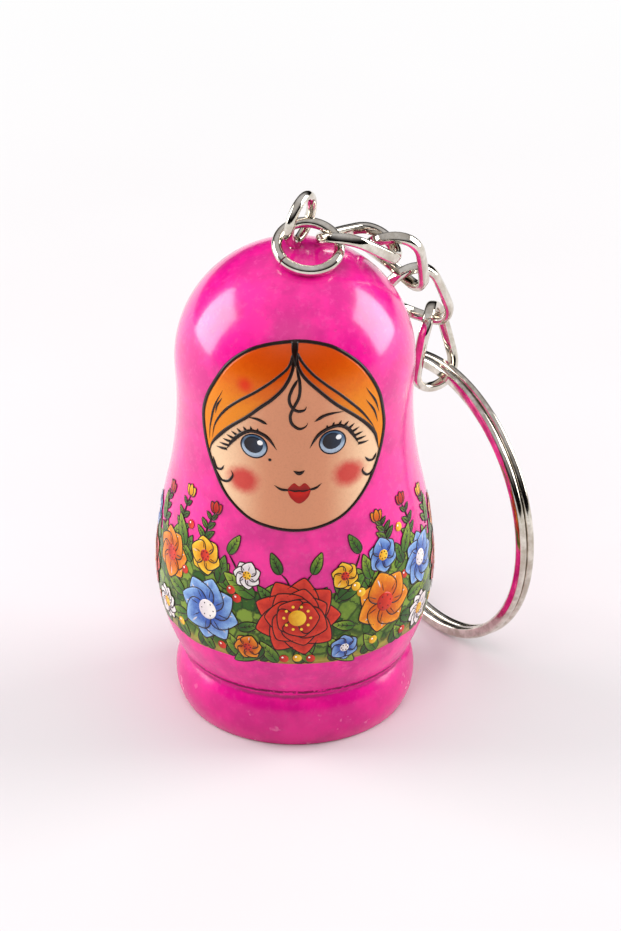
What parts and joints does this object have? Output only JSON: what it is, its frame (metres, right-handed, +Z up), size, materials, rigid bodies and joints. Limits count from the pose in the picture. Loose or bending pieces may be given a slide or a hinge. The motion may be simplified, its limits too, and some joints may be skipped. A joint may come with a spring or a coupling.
{
  "type": "wooden doll key ring",
  "caption": "Solid turned wooden doll with a printed face and garland, on a screw eye, jump ring, twisted chain and split key ring.",
  "frame": {"origin": "centre of the flat foot that the doll stands on", "axes": "+Z up along the doll's axis, the face looks along -Y, the chain hangs on the +X side"},
  "size_m": [0.0343, 0.0355, 0.0502],
  "materials": {
    "pink_lacquer": "hot pink gloss lacquer over turned wood",
    "face_print": "printed film under gloss lacquer",
    "garland_print": "printed film under gloss lacquer",
    "nickel_wire": "bright nickel plate",
    "nickel_chain": "bright nickel plate",
    "nickel_ring": "bright nickel plate, lightly scuffed"
  },
  "bodies": {
    "doll": {"wood_body": "pink_lacquer", "face_film": "face_print", "garland_film": "garland_print", "screw_eye": "nickel_wire"},
    "jump_ring": {"jump_ring": "nickel_wire"},
    "link_1": {"chain_link_1": "nickel_chain"},
    "link_2": {"chain_link_2": "nickel_chain"},
    "link_3": {"chain_link_3": "nickel_chain"},
    "link_4": {"chain_link_4": "nickel_chain"},
    "split_ring": {"split_ring": "nickel_ring"}
  },
  "joints": [
    {"name": "jump_ring_swing", "type": "hinge", "parent": "doll", "child": "jump_ring", "pos_m": [0.00067, 0.00064, 0.04704], "axis": [-0.6208, -0.6909, -0.3705], "range_deg": [0, 50]},
    {"name": "link_1_swing", "type": "hinge", "parent": "jump_ring", "child": "link_1", "pos_m": [0.0037, -0.00085, 0.04609], "axis": [0.3409, -0.8435, -0.415], "range_deg": [0, 40]},
    {"name": "link_2_swing", "type": "hinge", "parent": "link_1", "child": "link_2", "pos_m": [0.0085, 0.00348, 0.04362], "axis": [0.4852, -0.7726, -0.4095], "range_deg": [0, 60]},
    {"name": "link_3_swing", "type": "hinge", "parent": "link_2", "child": "link_3", "pos_m": [0.01, 0.00757, 0.03814], "axis": [0.6551, -0.6798, -0.3298], "range_deg": [0, 60]},
    {"name": "link_4_swing", "type": "hinge", "parent": "link_3", "child": "link_4", "pos_m": [0.01242, 0.01091, 0.03248], "axis": [0.8542, -0.5162, 0.0616], "range_deg": [0, 60]},
    {"name": "split_ring_swing", "type": "hinge", "parent": "link_4", "child": "split_ring", "pos_m": [0.01289, 0.01103, 0.0255], "axis": [0.8549, 0.5145, 0.0667], "range_deg": [-60, 60]}
  ]
}
